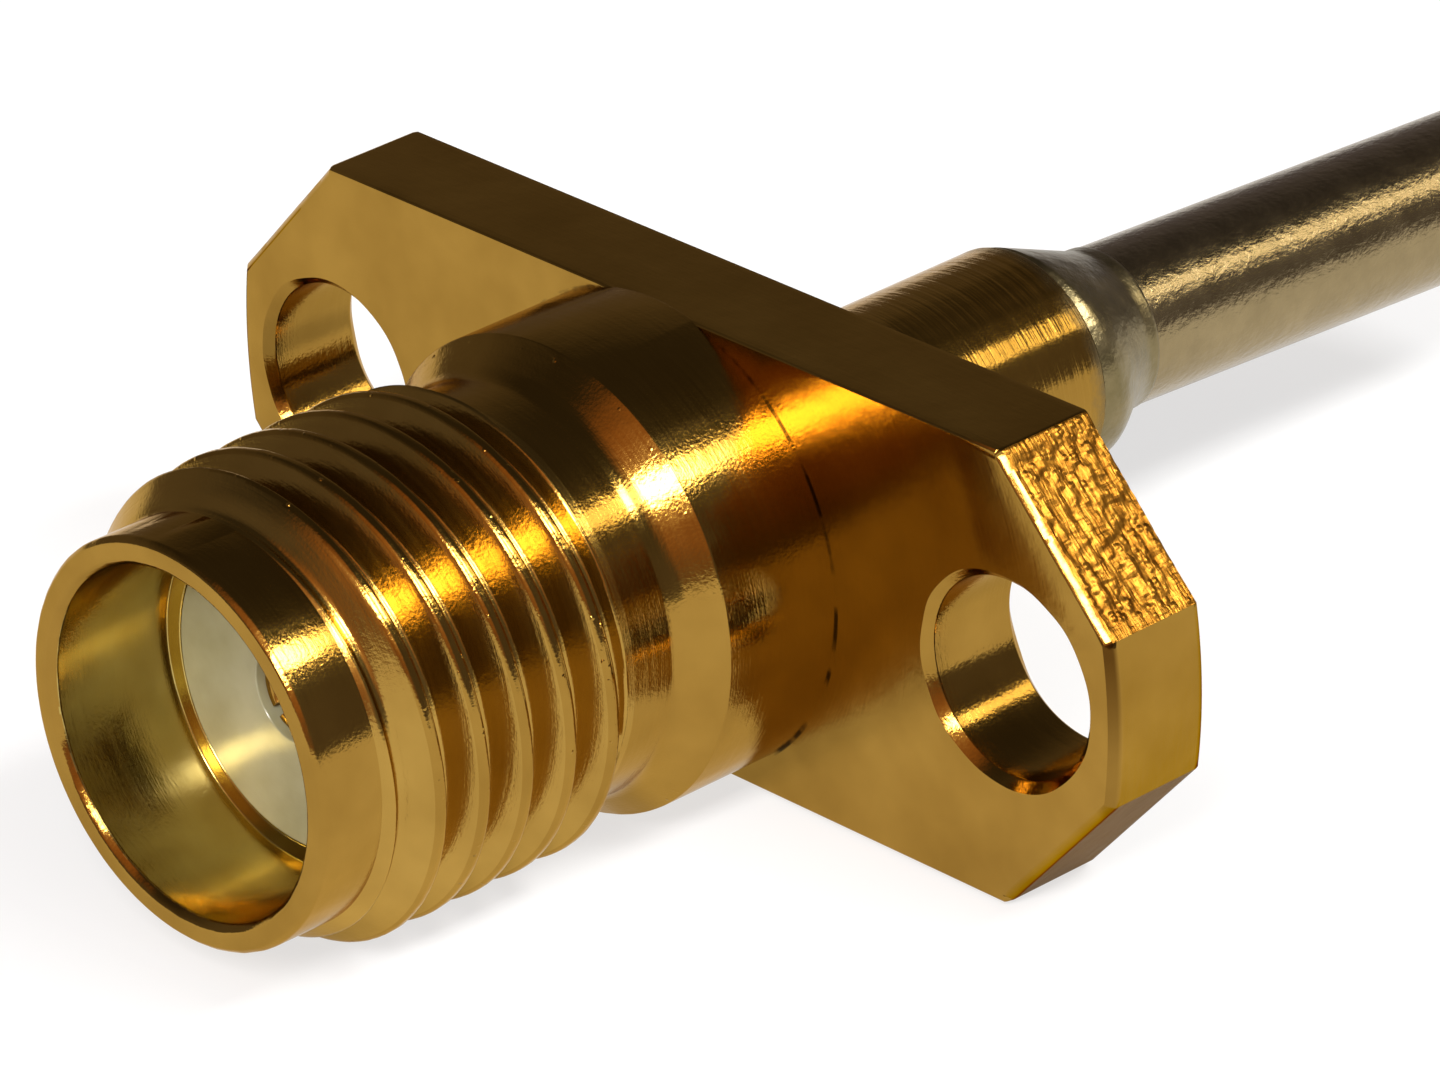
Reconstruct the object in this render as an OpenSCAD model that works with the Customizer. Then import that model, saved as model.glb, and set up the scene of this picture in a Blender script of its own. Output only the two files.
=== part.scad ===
// Subminiature coaxial jack with a two-hole panel flange, soldered to a stub of semi-rigid cable.
// Millimetres. The connector's axis lies along Y: the mouth faces -Y and the cable leaves along +Y.
// The flange's long side runs along X. The origin is the middle of the flange's front face.

/* [Flange] */
// Length over the two rounded ends
flange_length = 15.9; // [15.4:0.1:17]
// Width across the two long flats
flange_width = 6.2; // [6:0.05:6.8]
// Thickness of the plate
flange_thickness = 1.55; // [1.2:0.05:2.2]
// Length of each long flat
long_flat = 12.1; // [11:0.1:13]
// Height of each rounded end
end_height = 2.25; // [1.8:0.05:3]
// Radius on the corners of the outline
corner_radius = 0.3; // [0.1:0.05:0.6]
// Chamfer round the front face
front_chamfer = 0.1; // [0.05:0.01:0.2]
// Distance from the middle of each fixing hole to the end of the flange
hole_to_end = 1.85; // [1.7:0.05:2.2]
// Diameter of each fixing hole
hole_d = 2.66; // [2.4:0.02:2.8]
// Chamfer on both mouths of each fixing hole
hole_chamfer = 0.12; // [0.05:0.01:0.2]

/* [Barrel] */
// Height of the mouth above the flange's front face
barrel_length = 8; // [7.2:0.1:9.5]
// Diameter of the plain neck next to the flange
neck_d = 6.35; // [6.3:0.01:6.6]
// Length of the plain neck
neck_length = 1.85; // [1.2:0.05:2.4]
// Chamfer on the rim of the neck
neck_chamfer = 0.05; // [0.02:0.01:0.1]
// Length of the sloping shoulder above the neck
shoulder_length = 0.26; // [0.15:0.01:0.4]
// Step between the foot of the shoulder and the relief groove
shoulder_step = 0.12; // [0.05:0.01:0.2]
// Diameter of the relief groove behind the thread
relief_d = 5.5; // [5.3:0.02:5.6]
// Length of the relief groove
relief_length = 1.1; // [0.8:0.05:1.6]

/* [Thread] */
// Outside diameter of the thread
thread_d = 6.24; // [6.1:0.01:6.35]
// Threads to the inch
threads_per_inch = 36; // [32:1:40]
// Width of the flat on each crest
crest_flat = 0.12; // [0.08:0.01:0.18]
// Width of the flat at each root
root_flat = 0.1; // [0.05:0.01:0.14]

/* [Mouth] */
// Outside diameter of the plain ring at the mouth
mouth_d = 5.36; // [5.2:0.02:5.5]
// Length of the plain ring
mouth_length = 0.93; // [0.6:0.01:1.2]
// Bore that takes the mating plug
mouth_bore_d = 4.6; // [4.58:0.01:4.7]
// Depth from the mouth to the seat of the mating plug
mouth_depth = 1.85; // [1.7:0.01:2.2]
// Bevel on the inner edge of the mouth
mouth_bevel = 0.08; // [0.04:0.01:0.15]
// Bevel on the outer edge of the mouth
mouth_outer_bevel = 0.04; // [0.02:0.01:0.08]

/* [Insulator] */
// Bore of the chamber that holds the insulator
chamber_d = 4.12; // [4:0.02:4.3]
// Height of the chamber's floor above the flange's front face
chamber_floor = 0.6; // [0.3:0.05:1.2]
// Gap all round between insulator and chamber, and between contact and insulator
seat_clearance = 0.01; // [0.005:0.005:0.03]

/* [Centre contact] */
// Outside diameter of the slotted socket
contact_d = 1.27; // [1.2:0.01:1.32]
// Bore of the socket
socket_d = 0.94; // [0.9:0.01:0.98]
// Depth of the socket
socket_depth = 2.9; // [2.4:0.1:3.2]
// How far the socket's tip stands below the plug's seat
contact_recess = 0.1; // [0.05:0.01:0.25]
// Width of each slot
slot_width = 0.15; // [0.1:0.01:0.2]
// Length of each slot
slot_length = 2.2; // [1.6:0.1:2.3]
// Diameter of the collar that locks the contact in the insulator
collar_d = 1.7; // [1.5:0.05:1.9]
// Length of the collar
collar_length = 0.6; // [0.4:0.05:0.8]
// Length of the contact's tail behind the collar
tail_length = 0.35; // [0.2:0.05:0.6]
// Depth of the blind hole for the cable's centre conductor
crimp_depth = 1.6; // [1.2:0.1:1.7]

/* [Ferrule] */
// Diameter of the sleeve behind the flange
ferrule_d = 3.2; // [3:0.05:3.6]
// Length of the sleeve behind the flange
ferrule_length = 4.9; // [4:0.1:6]
// Chamfer on the end of the sleeve
ferrule_chamfer = 0.06; // [0.04:0.01:0.12]
// Gap all round between the cable and the bore of the sleeve
cable_clearance = 0.02; // [0.01:0.005:0.04]

/* [Solder] */
// Length of the solder fillet along the cable
fillet_length = 1.45; // [1:0.05:2]
// Share of the fillet that stays as thick as the sleeve
fillet_shoulder = 0.2; // [0.1:0.05:0.35]
// Thickness of the fillet at its foot on the cable
fillet_foot = 0.08; // [0.06:0.01:0.15]

/* [Cable] */
// Outside diameter of the tinned outer conductor
cable_d = 2.2; // [2.1:0.02:2.3]
// Diameter of the cable's insulation
core_d = 1.68; // [1.6:0.02:1.72]
// Diameter of the centre conductor
wire_d = 0.51; // [0.45:0.01:0.56]
// Length of cable behind the sleeve
stub_length = 8.9; // [4:0.1:20]
// Angle that the stub leans away from the connector's axis
lean = 2.8; // [0.5:0.1:6]
// Direction of the lean, turned down from the flange's long side
lean_side = 35; // [-180:5:180]
// Radius of the bend at the solder
bend_radius = 14; // [8:1:30]
// Straight length between the sleeve and the bend
bend_gap = 0.4; // [0.2:0.05:0.8]

/* [Hidden] */
round_fn = 96;
$fn = round_fn;
outline_fn = 4 * round_fn;
bend_fn = 8 * round_fn;
corner_fn = 32;
curve_steps = 10;
// How far a cutting shape stands past the surface that it opens
over = 0.1;
// Thickness of the thin layers that a hull joins
sheet = 0.001;

hole_spacing = flange_length - 2 * hole_to_end;
pitch = 25.4 / threads_per_inch;
thread_r = thread_d / 2;
// A sixty degree thread: each flank stands thirty degrees off the radius
thread_depth = (pitch - crest_flat - root_flat) / 2 / tan(30);
root_r = thread_r - thread_depth;
// Distance along the axis from the middle of a crest to the near edge of its root
half_valley = (pitch - root_flat) / 2;
mouth_r = mouth_d / 2;
lead_length = thread_r - mouth_r;
// The first full crest follows the lead chamfer, and the last one stands clear of the relief groove
first_crest = barrel_length - mouth_length - lead_length - crest_flat / 2;
relief_top = neck_length + shoulder_length + relief_length;
crests = floor((first_crest - relief_top) / pitch) + 1;

seat_height = barrel_length - mouth_depth;
contact_tip = seat_height - contact_recess;
sleeve_end = flange_thickness + ferrule_length;
bend_start = sleeve_end + bend_gap;
straight_run = stub_length - bend_gap - bend_radius * lean * PI / 180;
cable_bore_d = cable_d + 2 * cable_clearance;
// Angle that the flange's outline turns through at each end of a long flat
corner_turn = atan2(flange_width - end_height, flange_length - long_flat);
collar_seat = chamber_floor + tail_length + collar_length;

gold = [0.80, 0.60, 0.24];
pale_gold = [0.84, 0.68, 0.34];
tin = [0.62, 0.60, 0.55];
solder_grey = [0.55, 0.53, 0.48];
white_plastic = [0.90, 0.90, 0.86];
silver = [0.78, 0.78, 0.76];

// Turns local Z into the way the mouth faces
module toward_mouth() { rotate([90, 0, 0]) children(); }

// Turns local Z into the way the cable leaves
module toward_cable() { rotate([-90, 0, 0]) children(); }

// Outline of the flange, drawn smaller all round by inset: the ends keep the round of the bar
module flange_outline(inset) {
    corner_x = long_flat / 2 - corner_radius * tan(corner_turn / 2);
    corner_y = flange_width / 2 - corner_radius;
    hull() {
        for (sx = [-1, 1], sy = [-1, 1])
            translate([sx * corner_x, sy * corner_y]) circle(corner_radius - inset, $fn = corner_fn);
        intersection() {
            circle(flange_length / 2 - inset, $fn = outline_fn);
            square([flange_length, end_height - inset], center = true);
        }
    }
}

// One thin layer of the plate, from which the chamfered plate is drawn out
module flange_layer(depth, inset) {
    translate([0, 0, -depth]) linear_extrude(sheet) flange_outline(inset);
}

module flange_plate() {
    hull() {
        flange_layer(sheet, front_chamfer);
        flange_layer(front_chamfer, 0);
        flange_layer(flange_thickness, 0);
    }
}

// Drilled and chamfered fixing hole, cut from the front face at local Z = 0
module fixing_hole() {
    hole_r = hole_d / 2;
    translate([0, 0, -flange_thickness - over]) cylinder(h = flange_thickness + 2 * over, r = hole_r);
    translate([0, 0, -hole_chamfer])
        cylinder(h = hole_chamfer + over, r1 = hole_r, r2 = hole_r + hole_chamfer + over);
    translate([0, 0, -flange_thickness - over])
        cylinder(h = hole_chamfer + over, r1 = hole_r + hole_chamfer + over, r2 = hole_r);
}

// One crest with its two flanks, from the root above it to the root below it
function crest_points(height) = [
    [root_r, height + half_valley],
    [thread_r, height + crest_flat / 2],
    [thread_r, height - crest_flat / 2],
    [root_r, height - half_valley]
];

// Turned outside of the barrel, from the mouth down to the flange
module barrel_outside() {
    neck_r = neck_d / 2;
    relief_r = relief_d / 2;
    shoulder_r = relief_r + shoulder_step;
    last_root = first_crest - (crests - 1) * pitch - half_valley;
    rotate_extrude() polygon(concat(
        [[0, barrel_length], [mouth_r - mouth_outer_bevel, barrel_length],
            [mouth_r, barrel_length - mouth_outer_bevel], [mouth_r, barrel_length - mouth_length],
            [thread_r, first_crest + crest_flat / 2], [thread_r, first_crest - crest_flat / 2],
            [root_r, first_crest - half_valley]],
        [for (i = [1:crests - 1]) each crest_points(first_crest - i * pitch)],
        [[relief_r, last_root], [relief_r, neck_length + shoulder_length],
            [shoulder_r, neck_length + shoulder_length], [neck_r - neck_chamfer, neck_length],
            [neck_r, neck_length - neck_chamfer], [neck_r, 0], [relief_r, 0],
            [relief_r, -flange_thickness / 2], [0, -flange_thickness / 2]]
    ));
}

// Everything that is bored out along the axis
module barrel_inside() {
    bore_r = mouth_bore_d / 2;
    rotate_extrude() polygon([
        [0, barrel_length + over], [bore_r + mouth_bevel + over, barrel_length + over],
        [bore_r, barrel_length - mouth_bevel], [bore_r, seat_height],
        [chamber_d / 2, seat_height], [chamber_d / 2, chamber_floor],
        [cable_bore_d / 2, chamber_floor], [cable_bore_d / 2, -sleeve_end - over],
        [0, -sleeve_end - over]
    ]);
}

// Sleeve behind the flange that takes the cable
module ferrule() {
    ferrule_r = ferrule_d / 2;
    rotate_extrude() polygon([
        [0, -flange_thickness / 2], [ferrule_r, -flange_thickness / 2],
        [ferrule_r, -sleeve_end + ferrule_chamfer], [ferrule_r - ferrule_chamfer, -sleeve_end],
        [0, -sleeve_end]
    ]);
}

// The body is one turned and milled piece: barrel, flange and ferrule
module connector_body() {
    color(gold) toward_mouth() difference() {
        union() {
            barrel_outside();
            flange_plate();
            ferrule();
        }
        barrel_inside();
        for (side = [-1, 1]) translate([side * hole_spacing / 2, 0, 0]) fixing_hole();
    }
}

// Insulator that fills the chamber and holds the contact by its collar
module front_insulator() {
    outer_r = chamber_d / 2 - seat_clearance;
    bore_r = contact_d / 2 + seat_clearance;
    collar_r = collar_d / 2 + seat_clearance;
    color(white_plastic) toward_mouth() rotate_extrude() polygon([
        [bore_r, seat_height], [outer_r, seat_height], [outer_r, chamber_floor],
        [collar_r, chamber_floor], [collar_r, collar_seat], [bore_r, collar_seat]
    ]);
}

// Slotted socket with a collar, and a blind hole behind for the cable's centre conductor
module centre_contact() {
    contact_r = contact_d / 2;
    socket_r = socket_d / 2;
    tip_bevel = (contact_d - socket_d) / 8;
    hole_r = wire_d / 2 + seat_clearance;
    color(pale_gold) toward_mouth() difference() {
        rotate_extrude() polygon([
            [0, contact_tip], [contact_r - tip_bevel, contact_tip], [contact_r, contact_tip - tip_bevel],
            [contact_r, collar_seat], [collar_d / 2, collar_seat],
            [collar_d / 2, chamber_floor + tail_length], [contact_r, chamber_floor + tail_length],
            [contact_r, chamber_floor], [0, chamber_floor]
        ]);
        translate([0, 0, contact_tip - socket_depth]) cylinder(h = socket_depth + over, r = socket_r);
        translate([0, 0, contact_tip - tip_bevel])
            cylinder(h = tip_bevel + over, r1 = socket_r, r2 = socket_r + tip_bevel + over);
        translate([0, 0, chamber_floor - over]) cylinder(h = crimp_depth + over, r = hole_r);
        for (turn = [45, 135]) rotate([0, 0, turn])
            translate([-contact_d, -slot_width / 2, contact_tip - slot_length])
                cube([2 * contact_d, slot_width, slot_length + over]);
    }
}

// A round run along the cable's path: straight through the sleeve, a slight bend, then straight again
module cable_run(d, start, extra) {
    toward_cable() rotate([0, 0, lean_side]) {
        translate([0, 0, start]) cylinder(h = bend_start - start, d = d);
        translate([0, 0, bend_start]) {
            rotate([90, 0, 180]) translate([-bend_radius, 0, 0])
                rotate_extrude(angle = lean, $fn = bend_fn)
                    translate([bend_radius, 0]) circle(d = d, $fn = round_fn);
            translate([bend_radius * (1 - cos(lean)), 0, bend_radius * sin(lean)]) rotate([0, lean, 0])
                cylinder(h = straight_run + extra, d = d);
        }
    }
}

fillet_top_r = (ferrule_d - ferrule_chamfer) / 2;
fillet_foot_r = cable_d / 2 + fillet_foot;

// Radius of the fillet at a share s of its length: a full shoulder, then a smooth run down to the cable
function fillet_radius(s) = s <= fillet_shoulder ? fillet_top_r
    : fillet_foot_r + (fillet_top_r - fillet_foot_r)
        * (1 + cos(180 * (s - fillet_shoulder) / (1 - fillet_shoulder))) / 2;

module solder_fillet() {
    foot_r = ferrule_d / 2 - ferrule_chamfer;
    color(solder_grey) difference() {
        toward_cable() rotate_extrude() polygon(concat(
            [[0, sleeve_end], [foot_r, sleeve_end]],
            [for (i = [1:curve_steps]) [fillet_radius(i / curve_steps),
                sleeve_end + fillet_length * i / curve_steps]],
            [[0, sleeve_end + fillet_length]]
        ));
        cable_run(cable_d, sleeve_end - over, over);
    }
}

module cable_outer_conductor() {
    color(tin) difference() {
        cable_run(cable_d, -chamber_floor, 0);
        cable_run(core_d, -chamber_floor - over, over);
    }
}

module cable_dielectric() {
    color(white_plastic) difference() {
        cable_run(core_d, -chamber_floor, 0);
        cable_run(wire_d, -chamber_floor - over, over);
    }
}

module cable_centre_conductor() {
    color(silver) cable_run(wire_d, -chamber_floor - crimp_depth, 0);
}

connector_body();
front_insulator();
centre_contact();
solder_fillet();
cable_outer_conductor();
cable_dielectric();
cable_centre_conductor();
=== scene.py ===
"""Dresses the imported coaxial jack: detailed meshes, procedural materials, studio light and camera.

The scene is in metres and in the part's own frame. The connector's axis lies along Y, its mouth
faces -Y, and the flange's long side runs along X. Sizes below are in millimetres.
"""

import math

import bmesh
import bpy
from mathutils import Matrix, Vector, noise


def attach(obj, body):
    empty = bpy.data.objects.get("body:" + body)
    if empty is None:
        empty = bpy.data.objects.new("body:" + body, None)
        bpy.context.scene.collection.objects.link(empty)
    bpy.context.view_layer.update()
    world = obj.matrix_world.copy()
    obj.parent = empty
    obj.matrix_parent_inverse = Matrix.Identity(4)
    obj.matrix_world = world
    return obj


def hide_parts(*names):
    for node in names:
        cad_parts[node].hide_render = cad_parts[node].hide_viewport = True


MM = 0.001

# Camera, from a perspective fit to the object's edges in the photograph
PHOTO_WIDTH = 1440
SENSOR_WIDTH = 36.0
FOCAL_PIXELS = 9280.4
AZIMUTH = math.radians(47.162)
ELEVATION = math.radians(26.830)
ROLL = math.radians(-1.945)
CAMERA_RIGHT = 0.7662
CAMERA_TOP = -0.1581
CAMERA_BACK = 116.408

# Flange
FLANGE_LENGTH = 15.9
FLANGE_WIDTH = 6.2
FLANGE_THICKNESS = 1.55
LONG_FLAT = 12.1
END_HEIGHT = 2.25
CORNER_RADIUS = 0.12
FRONT_CHAMFER = 0.1
FLAT_CHAMFER = 0.3
HOLE_X = 6.1
HOLE_R = 1.33
HOLE_CHAMFER = 0.12
HOLE_UNEVENNESS = 0.3
HOLE_UNEVEN_SCALE = 1.6
PLATE_BORE_R = 1.35
EDGE_ROUND = 0.012
EDGE_MILLED = 0.03
FIRST_MILLED = 0.35
BACK_MILLED = 0.5
BACK_ROUND = 0.015
BACK_BREAK = 0.06

# Barrel, in heights above the flange's front face
BARREL_LENGTH = 8.0
NECK_R = 3.175
NECK_LENGTH = 1.85
NECK_SINK = 0.05
SHOULDER_R = 2.87
SHOULDER_END = 2.11
RELIEF_R = 2.75
GROOVE_SWEEP = 0.3
MOUTH_R = 2.68
MOUTH_RING_END = 7.07
BORE_R = 2.3
SEAT_HEIGHT = 6.15
CHAMBER_R = 2.06
CHAMBER_FLOOR = 0.6
NECK_BEVEL = 0.05
MOUTH_BEVEL = 0.07
BORE_BEVEL = 0.09
RIM_MIDDLE = 0.04

# Thread
THREAD_R = 3.12
PITCH = 25.4 / 36
ROOT_R = 2.70
HALF_VALLEY = 0.303
FIRST_CREST = 6.49
THREAD_START = 3.0
RUN_OUT = 3.36
RUN_OUT_LEAD = 0.15
RUN_OUT_REACH = 0.22
RUN_OUT_SLOPE = 2.0
FLANK_SLOPE = math.tan(math.radians(60))
CREST_BLEND = 0.05
ROOT_BLEND = 0.06

# Contact
CONTACT_R = 0.635
SOCKET_R = 0.47
SOCKET_DEPTH = 2.9
CONTACT_TIP = 6.05
SLOT_WIDTH = 0.15
SLOT_LENGTH = 2.2
CONTACT_BEVEL = 0.04
COLLAR_R = 0.85
COLLAR_LOW = 0.95
COLLAR_HIGH = 1.55
CRIMP_DEPTH = 1.6
SEAT_CLEARANCE = 0.01

# Sleeve, solder and cable, in distances behind the flange's front face
SLEEVE_R = 1.6
SLEEVE_END = 6.45
SLEEVE_CHAMFER = 0.06
CABLE_CLEARANCE = 0.02
FILLET_LENGTH = 1.45
UPPER_RUN = 0.85
SOLDER_RIM = 0.03
SOLDER_FOOT = 0.02
SOLDER_LIP = 0.005
THINNEST_SIDE = math.radians(125)
CABLE_R = 1.1
CABLE_BREAK = 0.03
CORE_R = 0.84
WIRE_R = 0.255
STUB_LENGTH = 8.9
BEND_START = 6.85
BEND_RADIUS = 14.0
LEAN = math.radians(2.8)
LEAN_SIDE = math.radians(35)

# Tool marks that are real relief
BURR_DEPTH = 0.012
BURR_REACH = 0.08
BURR_SCALE = 5
CREST_WEAR = 0.004
CREST_WEAR_SCALE = 7
MILL_RIDGES = 0.024
MILL_RIDGE_SCALE = 1.8
MILL_RIDGE_DEEP_SCALE = 8
MILL_LUMPS = 0.024
MILL_LUMP_SCALE = 7

# Radii of softened corners
TURNED_SOFT = 0.03
NECK_SOFT = 0.015
HOLE_SOFT = 0.02
CONTACT_SOFT = 0.012

# Mesh fineness
WELD = 1e-5
TINY = 1e-6
SHARP_ANGLE = 28.0
BODY_SHARP_ANGLE = 34.0
SOLDER_SHARP_ANGLE = 40.0
TURNED_SEGMENTS = 288
SMALL_SEGMENTS = 128
HOLE_SEGMENTS = 144
ROWS_PER_PITCH = 28
FACET_STEPS = 84
DEPTH_STEPS = 32
CORNER_STEPS = 3
GROOVE_STEPS = 8
ROUND_STEPS = 8
FLAT_STEPS = 6
FADE_STEPS = 7
CABLE_STEPS = 48
SOLDER_STEPS = 36

# Lamps: name, radiance, angle above the floor, width, start and end along Y, colour
LAMPS = (
    ("front_lamp", 34, 53.5, 72, -450, -170, (1, 1, 1)),
    ("middle_lamp", 6, 52.5, 58, -170, 0, (1, 1, 1)),
    ("side_lamp", 29, 52.5, 58, 0, 148, (1, 1, 1)),
    ("rear_lamp", 4.6, 52.5, 58, 148, 420, (1, 0.9, 0.68)),
)
LAMP_DISTANCE = 300

# Floor and room
FLOOR_SIZE = 2000
FLOOR_GREY = 0.30
FLOOR_GLOW = 0.69
ROOM_LOW = (0.35, 0.17)
ROOM_HIGH = (0.72, 0.055)
ROOM_TINT = (1, 0.88, 0.95)
WALL_DIRECTION = (0.35, -0.76, 0.55)
WALL_START = 0.72
WALL_FULL = 0.99
WALL_COLOUR = (0.62, 0.28, 0.13)

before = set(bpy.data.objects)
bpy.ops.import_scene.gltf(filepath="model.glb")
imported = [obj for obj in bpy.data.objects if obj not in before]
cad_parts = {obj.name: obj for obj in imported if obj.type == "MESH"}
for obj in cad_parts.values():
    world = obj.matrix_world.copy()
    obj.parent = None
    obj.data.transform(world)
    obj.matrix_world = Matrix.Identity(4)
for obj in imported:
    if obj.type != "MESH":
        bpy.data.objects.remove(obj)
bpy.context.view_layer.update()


# Camera

def make_camera():
    """The camera, at the place from which the photograph was taken."""
    across = Vector((math.cos(AZIMUTH), math.sin(AZIMUTH), 0))
    back = Vector((math.sin(AZIMUTH) * math.cos(ELEVATION),
                   -math.cos(AZIMUTH) * math.cos(ELEVATION), math.sin(ELEVATION)))
    up = back.cross(across)
    right = math.cos(ROLL) * across + math.sin(ROLL) * up
    top = -math.sin(ROLL) * across + math.cos(ROLL) * up
    data = bpy.data.cameras.new("camera")
    data.sensor_width = SENSOR_WIDTH
    data.lens = FOCAL_PIXELS * SENSOR_WIDTH / PHOTO_WIDTH
    data.clip_start = 5 * MM
    data.clip_end = 5.0
    camera = bpy.data.objects.new("camera", data)
    place = CAMERA_RIGHT * right + CAMERA_TOP * top + CAMERA_BACK * back
    turn = Matrix((right, top, back)).transposed()
    camera.matrix_world = Matrix.Translation(place * MM) @ turn.to_4x4()
    bpy.context.scene.collection.objects.link(camera)
    bpy.context.scene.camera = camera


make_camera()


# Mesh helpers

def finish_mesh(bm, name, sharp_angle=SHARP_ANGLE, keep_soft=None):
    """Turns a bmesh in millimetres into a shaded object in metres.

    Edges over sharp_angle degrees are sharp, except those for which keep_soft(middle) is true.
    """
    bmesh.ops.remove_doubles(bm, verts=bm.verts, dist=WELD)
    bmesh.ops.dissolve_degenerate(bm, edges=bm.edges, dist=TINY)
    bmesh.ops.recalc_face_normals(bm, faces=bm.faces)
    limit = math.radians(sharp_angle)
    for edge in bm.edges:
        middle = (edge.verts[0].co + edge.verts[1].co) / 2
        soft = keep_soft is not None and keep_soft(middle)
        edge.smooth = soft or edge.calc_face_angle(0) < limit
    for face in bm.faces:
        face.smooth = True
    bmesh.ops.scale(bm, vec=(MM, MM, MM), verts=bm.verts)
    mesh = bpy.data.meshes.new(name)
    bm.to_mesh(mesh)
    bm.free()
    thing = bpy.data.objects.new(name, mesh)
    bpy.context.scene.collection.objects.link(thing)
    return thing


def soften(points, radius):
    """The open polyline with each inner corner replaced by a short arc of about that radius."""
    longest_share = 0.4
    result = [points[0]]
    for before, corner, after in zip(points, points[1:], points[2:]):
        a, c, b = Vector(before), Vector(corner), Vector(after)
        reach = min(radius, (a - c).length * longest_share, (b - c).length * longest_share)
        first = c + (a - c).normalized() * reach
        last = c + (b - c).normalized() * reach
        for step in range(CORNER_STEPS + 1):
            t = step / CORNER_STEPS
            result.append(tuple((1 - t) ** 2 * first + 2 * t * (1 - t) * c + t ** 2 * last))
    result.append(points[-1])
    return result


def spot(radius, height, angle):
    """A point of a turned surface. Height is above the flange's front face, towards the mouth."""
    return Vector((radius * math.cos(angle), -height, radius * math.sin(angle)))


def add_face(bm, verts):
    """A face between the given corners. Repeated ones count once, and two corners make no face."""
    corners = []
    for vert in verts:
        if vert not in corners:
            corners.append(vert)
    if len(corners) > 2:
        bm.faces.new(corners)


def lathe_rows(bm, rows, closed=False):
    """Faces between rows of vertices, each row going once round the axis."""
    pairs = list(zip(rows, rows[1:]))
    if closed:
        pairs.append((rows[-1], rows[0]))
    for low, high in pairs:
        count = max(len(low), len(high))
        for i in range(count):
            j = (i + 1) % count
            add_face(bm, (low[i % len(low)], low[j % len(low)], high[j % len(high)], high[i % len(high)]))


def lathe(bm, profile, segments, closed=True):
    """A turned solid from its profile of (radius, height). A closed profile makes a ring."""
    rows = []
    for radius, height in profile:
        if radius < TINY:
            rows.append([bm.verts.new(spot(0, height, 0))])
        else:
            rows.append([bm.verts.new(spot(radius, height, 2 * math.pi * i / segments))
                         for i in range(segments)])
    lathe_rows(bm, rows, closed)
    return rows


def apply_modifiers(target):
    """Makes the result of the object's modifiers its mesh."""
    graph = bpy.context.evaluated_depsgraph_get()
    mesh = bpy.data.meshes.new_from_object(target.evaluated_get(graph))
    target.modifiers.clear()
    target.data = mesh


def cut(target, cutter, operation):
    """Applies a Boolean to target and removes cutter."""
    modifier = target.modifiers.new("cut", "BOOLEAN")
    modifier.operation = operation
    modifier.solver = "EXACT"
    modifier.object = cutter
    apply_modifiers(target)
    bpy.data.objects.remove(cutter)


def remake(thing, name, sharp_angle=SHARP_ANGLE, keep_soft=None):
    """The object after its Booleans, welded and shaded again under that name."""
    bm = bmesh.new()
    bm.from_mesh(thing.data)
    bmesh.ops.scale(bm, vec=(1 / MM,) * 3, verts=bm.verts)
    bpy.data.objects.remove(thing)
    return finish_mesh(bm, name, sharp_angle, keep_soft)


def keep_flats_flat(target):
    """Weighs the normals by face area, so that the large faces shade flat up to their edges."""
    modifier = target.modifiers.new("normals", "WEIGHTED_NORMAL")
    modifier.keep_sharp = True
    apply_modifiers(target)


# Body

def smooth_min(a, b, width):
    """The smaller of a and b, with a rounded change between them."""
    share = max(width - abs(a - b), 0.0) / width
    return min(a, b) - share * share * width / 4


def envelope(height):
    """Radius of the turned barrel in the thread's reach, before the thread is cut."""
    lead = MOUTH_R + (MOUTH_RING_END - height)
    flank = RELIEF_R + max(height - RUN_OUT + RUN_OUT_REACH, 0.0) * FLANK_SLOPE
    return smooth_min(smooth_min(THREAD_R, lead, CREST_BLEND), flank, CREST_BLEND)


def thread_radius(height, angle):
    """Radius of the threaded barrel: a right-handed helix cut into the envelope."""
    phase = (height - FIRST_CREST) / PITCH - angle / (2 * math.pi)
    distance = abs(phase - round(phase)) * PITCH
    rise = (HALF_VALLEY - distance) * FLANK_SLOPE
    groove = -smooth_min(-ROOT_R, -(ROOT_R + rise), ROOT_BLEND)
    # the groove runs out as it comes to the relief
    groove += max(RUN_OUT - RUN_OUT_LEAD - height, 0.0) * RUN_OUT_SLOPE
    radius = smooth_min(envelope(height), groove, CREST_BLEND)
    crest = min(max((radius - RELIEF_R) / (THREAD_R - RELIEF_R), 0.0), 1.0) ** 3
    worn = noise.noise(spot(radius, height, angle) * CREST_WEAR_SCALE) - 0.6
    return radius + crest * CREST_WEAR * worn


def nick_edges(bm, edges):
    """Roughens the turned edges that lie at the given (radius, height) with small burrs."""
    for vert in bm.verts:
        radius, height = math.hypot(vert.co.x, vert.co.z), -vert.co.y
        near = min(math.hypot(radius - r, height - h) for r, h in edges)
        if near < BURR_REACH:
            shift = (1 - near / BURR_REACH) * BURR_DEPTH * (noise.noise(vert.co * BURR_SCALE) - 0.5)
            vert.co.x *= 1 + shift / radius
            vert.co.z *= 1 + shift / radius


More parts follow.
